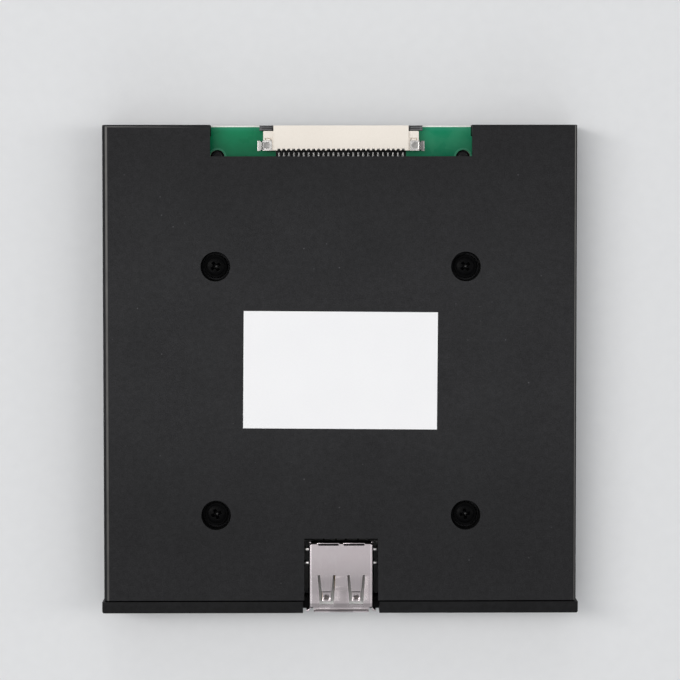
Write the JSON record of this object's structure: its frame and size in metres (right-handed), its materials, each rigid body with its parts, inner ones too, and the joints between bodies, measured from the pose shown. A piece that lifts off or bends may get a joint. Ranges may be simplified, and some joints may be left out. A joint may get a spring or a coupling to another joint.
{
  "type": "floppy drive emulator",
  "caption": "Slim drive-sized black case with a flat-cable connector in a rear notch, a USB-A port in a front bay, a digit display, push buttons and a bare label.",
  "frame": {"origin": "centre of the bounding box's bottom: the middle of the plain cover's outer face, on the surface that the drive lies on", "axes": "+Z out of the labelled cover, +Y towards the flat-cable connector at the rear, -Y out of the bezel, +X to the right seen from the bezel with the label up"},
  "size_m": [0.096, 0.0984, 0.0127],
  "materials": {
    "case_black": "matte moulded black ABS with a fine grain",
    "bezel_black": "satin moulded black ABS, a little darker than the case",
    "label_paper": "plain white self-adhesive paper, bare",
    "screw_black": "black-oxide steel",
    "board_green": "green solder mask over glass-fibre board",
    "usb_steel": "tin-plated pressed steel, satin",
    "white_nylon": "white nylon",
    "contact_gold": "gold-flashed phosphor bronze",
    "cream_plastic": "cream heat-resistant plastic",
    "grey_plastic": "dark grey plastic, ribbed ears",
    "tinned_metal": "tinned metal",
    "display_grey": "dark grey display face",
    "segment_white": "milky epoxy segments, unlit",
    "chip_black": "black moulding compound",
    "lamp_red": "red tinted epoxy lens",
    "capacitor_can": "aluminium can on a plastic foot",
    "fuse_green": "green epoxy coating"
  },
  "bodies": {
    "drive": {"cover_plain_side": "case_black", "cover_label_side": "case_black", "front_bezel": "bezel_black", "label_sticker": "label_paper", "case_screw_front_left": "screw_black", "case_screw_front_right": "screw_black", "case_screw_rear_left": "screw_black", "case_screw_rear_right": "screw_black", "main_board": "board_green", "usb_shell": "usb_steel", "usb_insulator": "white_nylon", "usb_contact_1": "contact_gold", "usb_contact_2": "contact_gold", "usb_contact_3": "contact_gold", "usb_contact_4": "contact_gold", "ffc_housing": "cream_plastic", "ffc_contacts": "tinned_metal", "ffc_holddown_left": "tinned_metal", "ffc_holddown_right": "tinned_metal", "display_shell": "display_grey", "display_diffuser": "segment_white", "display_board": "board_green", "switch_body_left": "chip_black", "switch_body_right": "chip_black", "switch_plate_left": "tinned_metal", "switch_plate_right": "tinned_metal", "switch_dome_left": "tinned_metal", "switch_dome_right": "tinned_metal", "status_led": "lamp_red", "led_holder": "chip_black", "controller_chip": "chip_black", "buffer_chip": "chip_black", "memory_chip": "chip_black", "voltage_regulator": "chip_black", "crystal": "tinned_metal", "supply_capacitor_1": "capacitor_can", "supply_capacitor_2": "capacitor_can", "resettable_fuse": "fuse_green", "ferrite_choke": "chip_black", "resistor_network_1": "chip_black", "resistor_network_2": "chip_black"},
    "cable_lock": {"ffc_slider": "grey_plastic"},
    "button_left": {"button_cap_left": "bezel_black", "switch_plunger_left": "white_nylon"},
    "button_right": {"button_cap_right": "bezel_black", "switch_plunger_right": "white_nylon"}
  },
  "joints": [
    {"name": "cable_lock_slide", "type": "slide", "parent": "drive", "child": "cable_lock", "axis": [0, 1, 0], "range_m": [0, 0.0015]},
    {"name": "button_left_press", "type": "slide", "parent": "drive", "child": "button_left", "axis": [0, 1, 0], "range_m": [0, 0.0003], "stiffness_N_per_m": 4000},
    {"name": "button_right_press", "type": "slide", "parent": "drive", "child": "button_right", "axis": [0, 1, 0], "range_m": [0, 0.0003], "stiffness_N_per_m": 4000}
  ]
}
